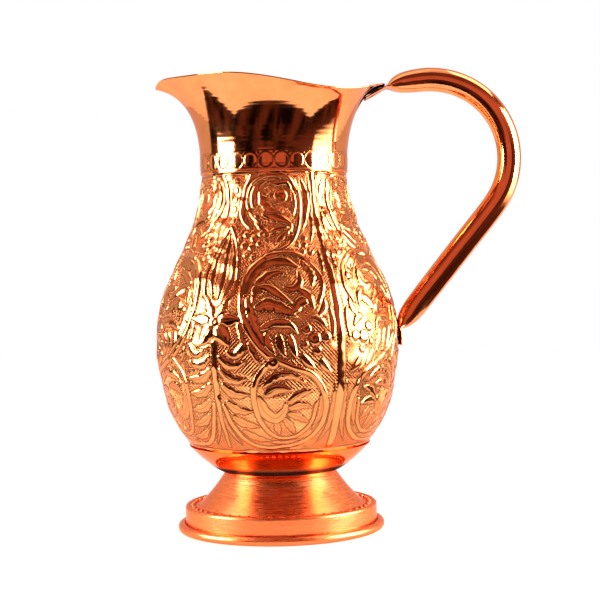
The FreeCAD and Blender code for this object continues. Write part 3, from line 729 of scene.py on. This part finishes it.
def chased_work(nodes):
    """The crossed punch marks of the low ground, and the grime that they and the traced lines keep."""
    mark = nodes.attribute("mark")
    ground = nodes.attribute("ground")
    x, y, _ = nodes.split(nodes.attribute("hatch", "Vector"))
    one_way = nodes.maths("SINE", nodes.scaled(nodes.maths("ADD", x, y), HATCH_FINENESS))
    other_way = nodes.maths("SINE", nodes.scaled(nodes.maths("SUBTRACT", x, y), HATCH_FINENESS))
    crossed = nodes.spread(nodes.maths("MAXIMUM", one_way, other_way), 0.55, 0.95, 0.0, 1.0)
    crossed = nodes.maths("MULTIPLY", crossed, ground)
    grime = nodes.maths("ADD", nodes.scaled(mark, LINE_GRIME), nodes.scaled(crossed, HATCH_GRIME))
    grime = nodes.maths("ADD", grime, nodes.scaled(ground, GROUND_GRIME))
    return crossed, nodes.maths("MINIMUM", grime, 1.0)


def painted_joint_shade(nodes, place, shaded_joint):
    """Painted shade: how dark the copper is painted in the corner over and just under a soldered joint at a
    height.
    """
    up = nodes.maths("SUBTRACT", nodes.split(place)[2], shaded_joint)
    over = nodes.spread(up, *SHADE_FADE_OVER, 1.0, 0.0)
    under = nodes.spread(up, *SHADE_FADE_UNDER, 0.0, 1.0)
    return nodes.maths("MULTIPLY", over, under)


def soot_and_shade_patch(nodes, place, smears, centre, reach):
    """A ragged dark patch round a place: soot at the handle's lower joint, painted shade in the wedge at its
    upper one.
    """
    apart = nodes.add("ShaderNodeVectorMath", {0: place, 1: centre}, operation="DISTANCE")
    ragged = nodes.maths("ADD", apart.outputs["Value"], nodes.scaled(smears, SOOT_AND_SHADE_RAGGED))
    return nodes.spread(ragged, reach, reach + SOOT_AND_SHADE_FADE, 1.0, 0.0)


def copper(name, roughness, brushed, wobble, base=COPPER, drawn=1.0, chased=False, soot_and_shade_patches=(), shaded_joint=None):
    """Polished copper. Brushed is the depth of its fine turning lines, and wobble that of the slow
    unevenness of hand-worked sheet. Drawn is how many times longer its smears are than they are high.
    Chased sheet has marks and grime by its mesh's attributes, which also keep its soot and painted shade on
    the outside. Soot and shade patches are the places, with their reach, where the copper is painted dark:
    soot where the brazing torch blackened the handle's lower joint, painted shade in the wedge between the
    neck's flare and the handle's upper tab. Shaded joint is the height of a soldered joint, round which the
    copper is painted dark as shade."""
    nodes = Nodes(bpy.data.materials.new(name))
    shader = nodes.tree.nodes["Principled BSDF"]
    place = nodes.place()
    # Turning lines run level round the axis, so the noise is squeezed in height.
    lines = nodes.noise(nodes.stretched(place, TURNING_LINES), 1.0, 2.0)
    slow = nodes.noise(place, UNEVENNESS, 2.0, 0.45)
    smears = nodes.noise(nodes.stretched(place, (1.0, 1.0, drawn)), SMEARS, 4.0, 0.6)
    height = nodes.maths("ADD", nodes.scaled(lines, brushed), nodes.scaled(slow, wobble))
    rough = nodes.spread(smears, 0.3, 0.7, roughness * 0.75, roughness * 1.4)
    colour = nodes.blend(nodes.spread(smears, 0.4, 0.75, 0.0, 0.25), base, TARNISH)
    shine = 1.0
    if chased:
        crossed, grime = chased_work(nodes)
        height = nodes.maths("SUBTRACT", height, nodes.scaled(crossed, HATCH_DEPTH))
        colour = nodes.blend(grime, colour, GRIME)
        rough = nodes.maths("ADD", rough, nodes.scaled(grime, 0.2))
    if shaded_joint:
        # Painted shade: the corner at the soldered waist is painted dark and loses most of its metal.
        corner = painted_joint_shade(nodes, place, shaded_joint)
        colour = nodes.blend(corner, colour, SOOT_AND_SHADE)
        shine = nodes.maths("SUBTRACT", shine, nodes.scaled(corner, 0.9))
    # Soot at the handle's lower joint; painted shade in the wedge between the neck's flare and the handle's
    # upper tab.
    for centre, reach in soot_and_shade_patches:
        soot_and_shade = soot_and_shade_patch(nodes, place, smears, centre, reach)
        if chased:
            soot_and_shade = nodes.maths("MULTIPLY", soot_and_shade, nodes.attribute("outside"))
        colour = nodes.blend(soot_and_shade, colour, SOOT_AND_SHADE)
        rough = nodes.maths("ADD", rough, nodes.scaled(soot_and_shade, 0.6))
        shine = nodes.maths("SUBTRACT", shine, soot_and_shade)
    tilt = nodes.add("ShaderNodeBump", {"Height": height, "Strength": 1.0, "Distance": BUMP_DEPTH})
    nodes.feed(shader.inputs["Base Color"], colour)
    nodes.feed(shader.inputs["Metallic"], shine)
    nodes.feed(shader.inputs["Specular Tint"], (*EDGE_TINT, 1.0))
    # Only the soot and the painted shade aren't metal, and they have no gloss of their own.
    nodes.feed(shader.inputs["Specular IOR Level"], 0.0)
    nodes.feed(shader.inputs["Roughness"], rough)
    nodes.feed(shader.inputs["Normal"], tilt.outputs["Normal"])
    return nodes.owner


def dress(piece, material):
    piece.data.materials.clear()
    piece.data.materials.append(material)


# The bowl and the foot are painted dark round their waist: painted shade.
BOWL = copper("bowl_copper", 0.08, 0.08, 0.6, BOWL_COPPER, 4.0, shaded_joint=WAIST_HEIGHT)
SATIN = copper("foot_copper", 0.27, 0.7, 0.2, FOOT_COPPER, 14.0, shaded_joint=WAIST_HEIGHT)
# The neck's dark patches behind the handle's upper tab are painted shade of the wedge under the flare.
STAMPED = copper("stamped_copper", 0.08, 0.06, 0.5, chased=True,
                 soot_and_shade_patches=[(UPPER_JOINT, 0.0145), (FAR_CORNER, 0.009)])
EMBOSSED = copper("embossed_copper", 0.08, 0.0, 0.5, BELLY_COPPER, chased=True,
                  soot_and_shade_patches=[(LOWER_JOINT, 0.005)])
# The tube's dark patch at its upper end is painted shade of that wedge; the one at its lower end is soot.
TUBE = copper("tube_copper", 0.08, 0.0, 0.8, HANDLE_COPPER,
              soot_and_shade_patches=[(UPPER_JOINT, 0.006), (LOWER_JOINT, 0.006)])
WIRE = copper("wire_copper", 0.3, 0.0, 0.5)

for piece, material, slot, node in ((embossed_belly(), EMBOSSED, "embossed_copper", "belly"),
                                    (stamped_neck(), STAMPED, "spun_copper", "neck_mouth")):
    dress(piece, material)
    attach(piece, "root")
    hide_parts(node)

for node, material in (("neck_mouth", STAMPED), ("belly", EMBOSSED), ("bottom_bowl", BOWL),
                       ("foot_pedestal", SATIN), ("foot_edge_wire", WIRE), ("handle_tube", TUBE)):
    dress(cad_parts[node], material)

# ---------------------------------------------------------------- studio

# The world lights paper at WORLD_LEVEL; the metal sees it at BACKDROP, the camera as white.
WORLD_LEVEL = 0.4
BACKDROP = 0.78
JUG_MIDDLE = 0.15
WHITE = (1.0, 1.0, 1.0)
PAPER = (0.9, 0.9, 0.9)
PAPER_GLOW, PAPER_GLOW_IN_METAL = 0.6, 0.8
FLOOR_CORNERS = 96

# The table top ends at these places, and the unlit floor beyond it ends behind the jug, where y is
# SIDE_SLOPE times as far from the middle as x.
TABLE_FRONT = -0.234
TABLE_LEFT, TABLE_RIGHT = -0.426, 0.240
SIDE_SLOPE = 0.38

# The unlit room: its size, its colour, and how bright its dark and its lit parts are.
ROOM_RADIUS = 1.3
ROOM_HALF_ANGLE = 111
ROOM_LOW, ROOM_HIGH = -8, 80
ROOM_COLUMNS, ROOM_ROWS = 45, 31
ROOM_COLOUR = (1.0, 0.37, 0.30)
ROOM_DARK = 0.022
ROOM_LIT = 0.5
HIGH_SHARE = 0.3
# Between these heights the doorway starts, the room gets light, and it falls to HIGH_SHARE of that.
DOOR_START = (0.11, 0.15)
LIT_START = (0.34, 0.52)
HIGH_START = (0.75, 0.95)
DOOR_SLOPE = 0.445
# The room and its floor get a little lighter far to the right, where a pool of light lies on the floor.
FAR_WALL = (0.5, 0.9)
FAR_WALL_LEVEL = 0.16
FAR_FLOOR_LEVEL = 0.12
POOL_START = (0.45, 0.8)
POOL_LEVEL = 6.0

# Two tall softboxes, one at each side: azimuth, height of its middle, width and height.
STRIPS = {"left": (-78, 0.70, (0.58, 1.18)), "right": (77.5, 0.66, (0.64, 1.26))}
STRIP_DISTANCE = 1.1
STRIP_LEVEL = 22.0
PAPER_LEVEL = 2.5


def plain_object(name, corners, faces):
    mesh = bpy.data.meshes.new(name)
    mesh.from_pydata(corners, [], faces)
    thing = bpy.data.objects.new(name, mesh)
    bpy.context.scene.collection.objects.link(thing)
    return thing


def softbox(name, azimuth, distance, height, size, level, lights_paper=False):
    """A rectangular studio light turned to the jug. Azimuths are degrees from the photographer's side,
    towards the handle; level is how many times brighter than white it looks. Most of the light
    only shows in the metal, so that paper stays at its own colour."""
    light = bpy.data.lights.new(name, "AREA")
    light.shape = "RECTANGLE"
    light.size, light.size_y = size
    light.energy = 4 * level * size[0] * size[1]
    lamp = bpy.data.objects.new(name, light)
    angle = math.radians(azimuth - 90)
    lamp.location = (distance * math.cos(angle), distance * math.sin(angle), height)
    # A low light faces level, and a high one faces the jug's middle.
    aim = Vector((0, 0, JUG_MIDDLE if height > 1 else height)) - lamp.location
    lamp.rotation_euler = aim.to_track_quat("-Z", "Y").to_euler()
    lamp.visible_diffuse = lights_paper
    bpy.context.scene.collection.objects.link(lamp)
    return lamp


def glow(nodes, colour, strength):
    return nodes.add("ShaderNodeEmission", {"Color": (*colour, 1.0), "Strength": strength}).outputs[0]


def mixed(nodes, factor, first, second):
    """One shader where factor is 0 and another where it is 1."""
    mix = nodes.add("ShaderNodeMixShader", {0: factor, 1: first, 2: second})
    return mix.outputs[0]


def finish_surface(nodes, shader):
    nodes.feed(nodes.tree.nodes["Material Output"].inputs["Surface"], shader)
    return nodes.owner


def shadows(nodes, place):
    """How bright the unlit parts of the room are, with darker and lighter things standing upright in
    it: the noise changes with the direction from the jug and little with distance."""
    x, y, z = nodes.split(place)
    away = nodes.maths("SQRT", nodes.maths("ADD", nodes.maths("MULTIPLY", x, x),
                                           nodes.maths("MULTIPLY", y, y)))
    direction = nodes.maths("ARCTAN2", x, y)
    inputs = {0: nodes.scaled(direction, 1.3), 1: nodes.scaled(away, 0.5), 2: z}
    upright = nodes.add("ShaderNodeCombineXYZ", inputs).outputs[0]
    return nodes.spread(nodes.noise(upright, 3.5), 0.42, 0.62, 0.2 * ROOM_DARK, 6 * ROOM_DARK)


def beyond_table(nodes, x, y):
    """1 on the floor past the table's front and sides, as far back as SIDE_SLOPE lets it reach."""
    right = nodes.maths("GREATER_THAN", x, TABLE_RIGHT)
    left = nodes.maths("LESS_THAN", x, TABLE_LEFT)
    front = nodes.maths("LESS_THAN", y, TABLE_FRONT)
    past_edge = nodes.maths("MAXIMUM", front, nodes.maths("MAXIMUM", right, left))
    behind = nodes.maths("SUBTRACT", y, nodes.scaled(nodes.maths("ABSOLUTE", x), SIDE_SLOPE))
    return nodes.maths("MULTIPLY", past_edge, nodes.maths("LESS_THAN", behind, 0.0))


def studio_floor():
    """A white table top under the jug. Past its edges the metal mirrors the unlit room's floor, with a
    pool of light far to the right; anything else sees white paper everywhere."""
    corners = [(ROOM_RADIUS * math.cos(a), ROOM_RADIUS * math.sin(a), 0.0)
               for a in np.linspace(0, 2 * math.pi, FLOOR_CORNERS + 1)[:-1]]
    floor = plain_object("floor", corners, [list(range(FLOOR_CORNERS))])
    nodes = Nodes(bpy.data.materials.new("floor_paper"))
    paper = nodes.tree.nodes["Principled BSDF"]
    in_metal = nodes.add("ShaderNodeLightPath").outputs["Is Glossy Ray"]
    nodes.feed(paper.inputs["Base Color"], (*PAPER, 1.0))
    nodes.feed(paper.inputs["Roughness"], 0.9)
    nodes.feed(paper.inputs["Emission Color"], (*WHITE, 1.0))
    nodes.feed(paper.inputs["Emission Strength"],
               nodes.spread(in_metal, 0.0, 1.0, PAPER_GLOW, PAPER_GLOW_IN_METAL))
    place = nodes.place()
    x, y, _ = nodes.split(place)
    dark = nodes.maths("MULTIPLY", beyond_table(nodes, x, y), in_metal)
    # The floor beyond the table's right edge is a little lighter the further it is.
    lighter = nodes.spread(x, TABLE_RIGHT, POOL_START[0], 0.0, FAR_FLOOR_LEVEL)
    dim = nodes.maths("MAXIMUM", shadows(nodes, place), lighter)
    shader = mixed(nodes, dark, paper.outputs[0], glow(nodes, ROOM_COLOUR, dim))
    slanted = nodes.spread(nodes.maths("ADD", x, nodes.scaled(y, 1.75)), 0.0, 0.06, 0.0, 1.0)
    pool = nodes.maths("MULTIPLY", nodes.spread(x, *POOL_START, 0.0, 1.0), slanted)
    shader = mixed(nodes, nodes.maths("MULTIPLY", pool, dark), shader, glow(nodes, WHITE, POOL_LEVEL))
    dress(floor, finish_surface(nodes, shader))
    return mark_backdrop(floor)


def room_level(nodes, place):
    """How bright the room is: dark at the jug's own height except for a doorway straight behind the
    photographer, lit above that, dimmer again high up, and a little lighter far to the right."""
    x, y, z = nodes.split(place)
    beside = nodes.maths("ADD", nodes.maths("ABSOLUTE", x), nodes.scaled(y, DOOR_SLOPE))
    door = nodes.maths("MULTIPLY", nodes.spread(beside, -0.03, 0.03, 1.0, 0.0),
                       nodes.spread(z, *DOOR_START, 0.0, 1.0))
    lit = nodes.maths("MAXIMUM", door, nodes.spread(z, *LIT_START, 0.0, 1.0))
    high = nodes.spread(z, *HIGH_START, 1.0, HIGH_SHARE)
    level = nodes.maths("MULTIPLY", nodes.scaled(lit, ROOM_LIT), high)
    level = nodes.maths("ADD", level, shadows(nodes, place))
    return nodes.maths("MAXIMUM", level, nodes.spread(x, *FAR_WALL, 0.0, FAR_WALL_LEVEL))


def dark_room():
    """The unlit room on the photographer's side, which only the metal mirrors. The camera sees it
    white from wherever it stands, and it lights paper as the world does."""
    angles = np.radians(np.linspace(-ROOM_HALF_ANGLE, ROOM_HALF_ANGLE, ROOM_COLUMNS) - 90)
    rises = np.radians(np.linspace(ROOM_LOW, ROOM_HIGH, ROOM_ROWS))
    corners = [(ROOM_RADIUS * math.cos(a) * math.cos(r), ROOM_RADIUS * math.sin(a) * math.cos(r),
                JUG_MIDDLE + ROOM_RADIUS * math.sin(r)) for r in rises for a in angles]
    faces = [(start, start + 1, start + ROOM_COLUMNS + 1, start + ROOM_COLUMNS)
             for row in range(ROOM_ROWS - 1)
             for start in range(row * ROOM_COLUMNS, (row + 1) * ROOM_COLUMNS - 1)]
    room = plain_object("room", corners, faces)
    nodes = Nodes(bpy.data.materials.new("room_dark"))
    nodes.tree.nodes.remove(nodes.tree.nodes["Principled BSDF"])
    path = nodes.add("ShaderNodeLightPath").outputs
    plain = nodes.spread(path["Is Camera Ray"], 0.0, 1.0, WORLD_LEVEL, 1.0)
    shader = mixed(nodes, path["Is Glossy Ray"], glow(nodes, WHITE, plain),
                   glow(nodes, ROOM_COLOUR, room_level(nodes, nodes.place())))
    dress(room, finish_surface(nodes, shader))
    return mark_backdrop(room)


def white_world():
    """White to the camera, a pale backdrop to the metal, and a plain level for diffuse light."""
    nodes = Nodes(bpy.data.worlds.new("studio"))
    back = nodes.tree.nodes["Background"]
    path = nodes.add("ShaderNodeLightPath").outputs
    seen = nodes.maths("MAXIMUM", path["Is Camera Ray"], path["Is Glossy Ray"])
    seen = nodes.maths("MAXIMUM", seen, path["Is Transmission Ray"])
    level = nodes.spread(seen, 0.0, 1.0, WORLD_LEVEL, 1.0)
    fall = nodes.spread(path["Is Glossy Ray"], 0.0, 1.0, 1.0, BACKDROP)
    nodes.feed(back.inputs["Strength"], nodes.maths("MULTIPLY", level, fall))
    nodes.feed(back.inputs["Color"], (*WHITE, 1.0))
    bpy.context.scene.world = nodes.owner


studio_floor()
dark_room()
white_world()
for side, (azimuth, middle, size) in STRIPS.items():
    softbox(f"strip_{side}", azimuth, STRIP_DISTANCE, middle, size, STRIP_LEVEL)
    softbox(f"paper_{side}", azimuth, STRIP_DISTANCE + 0.02, middle, size, PAPER_LEVEL, lights_paper=True)
# A weaker edge behind the right softbox, and weak lights over the jug for its mouth and handle.
softbox("strip_edge", 102, STRIP_DISTANCE, 0.66, (0.19, 1.26), 7.0)
for side, azimuth in (("left", -100), ("right", 100)):
    softbox(f"top_{side}", azimuth, 0.62, 1.05, (0.6, 0.5), 3.0)
overhead = softbox("overhead", 0, 0.02, 1.28, (1.0, 0.7), 0.6)
overhead.rotation_euler = (0, 0, 0)

# ---------------------------------------------------------------- camera

EYE = Vector((0.0, -0.882, 0.162))
AIM = Vector((0.013, 0.0, 0.128))
ROLL_DEG = -1.2
VIEW_DEG = 21.6

lens = bpy.data.cameras.new("camera")
lens.sensor_width = 36.0
lens.angle = math.radians(VIEW_DEG)
camera = bpy.data.objects.new("camera", lens)
camera.location = EYE
turned = (AIM - EYE).to_track_quat("-Z", "Y").to_matrix().to_4x4()
roll = Matrix.Rotation(math.radians(ROLL_DEG), 4, "Z")
camera.rotation_euler = (turned @ roll).to_euler()
bpy.context.scene.collection.objects.link(camera)
bpy.context.scene.camera = camera

bpy.context.scene.view_settings.view_transform = "Standard"
